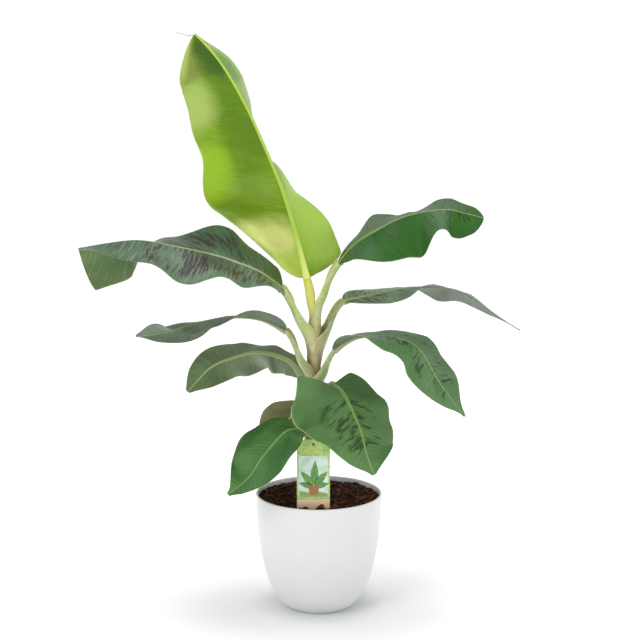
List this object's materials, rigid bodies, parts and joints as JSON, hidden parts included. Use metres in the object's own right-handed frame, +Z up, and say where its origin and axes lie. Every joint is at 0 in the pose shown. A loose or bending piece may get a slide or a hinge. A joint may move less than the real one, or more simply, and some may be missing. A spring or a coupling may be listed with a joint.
{
  "type": "potted banana plant",
  "caption": "Young dwarf banana plant with broad arching leaves on a sheathed stem, rooted in soil in a round tapered indoor pot, with a blank care label.",
  "frame": {"origin": "centre of the pot's flat underside", "axes": "+Z up along the stem; -Y towards the plant's open front; +X to the right seen from the front"},
  "size_m": [0.741, 0.3127, 0.9926],
  "materials": {
    "pot_plastic": "white moulded polypropylene, fine satin",
    "potting_soil": "moist bark and peat crumbs, dull",
    "label_card": "printed plastic card, semi-gloss",
    "stem_sheath": "waxy leaf sheaths, pale green above and reddish brown below",
    "leaf_stalk": "waxy living leaf stalk, satin",
    "young_leaf": "thin young leaf blade, bright yellow-green, satin",
    "grown_leaf": "leathery leaf blade, deep green with dark blotches, satin"
  },
  "bodies": {
    "root": {"pot": "pot_plastic", "soil": "potting_soil", "plant_label": "label_card", "pseudostem": "stem_sheath", "stalk_top": "leaf_stalk", "stalk_upper_left": "leaf_stalk", "stalk_upper_right": "leaf_stalk", "stalk_right": "leaf_stalk", "stalk_front_right": "leaf_stalk", "stalk_left": "leaf_stalk", "stalk_back_left": "leaf_stalk", "stalk_front": "leaf_stalk", "stalk_front_left": "leaf_stalk", "stalk_back": "leaf_stalk", "leaf_top": "young_leaf", "leaf_upper_left": "grown_leaf", "leaf_upper_right": "grown_leaf", "leaf_right": "grown_leaf", "leaf_front_right": "grown_leaf", "leaf_left": "grown_leaf", "leaf_back_left": "grown_leaf", "leaf_front": "grown_leaf", "leaf_front_left": "grown_leaf", "leaf_back": "grown_leaf"}
  },
  "joints": []
}
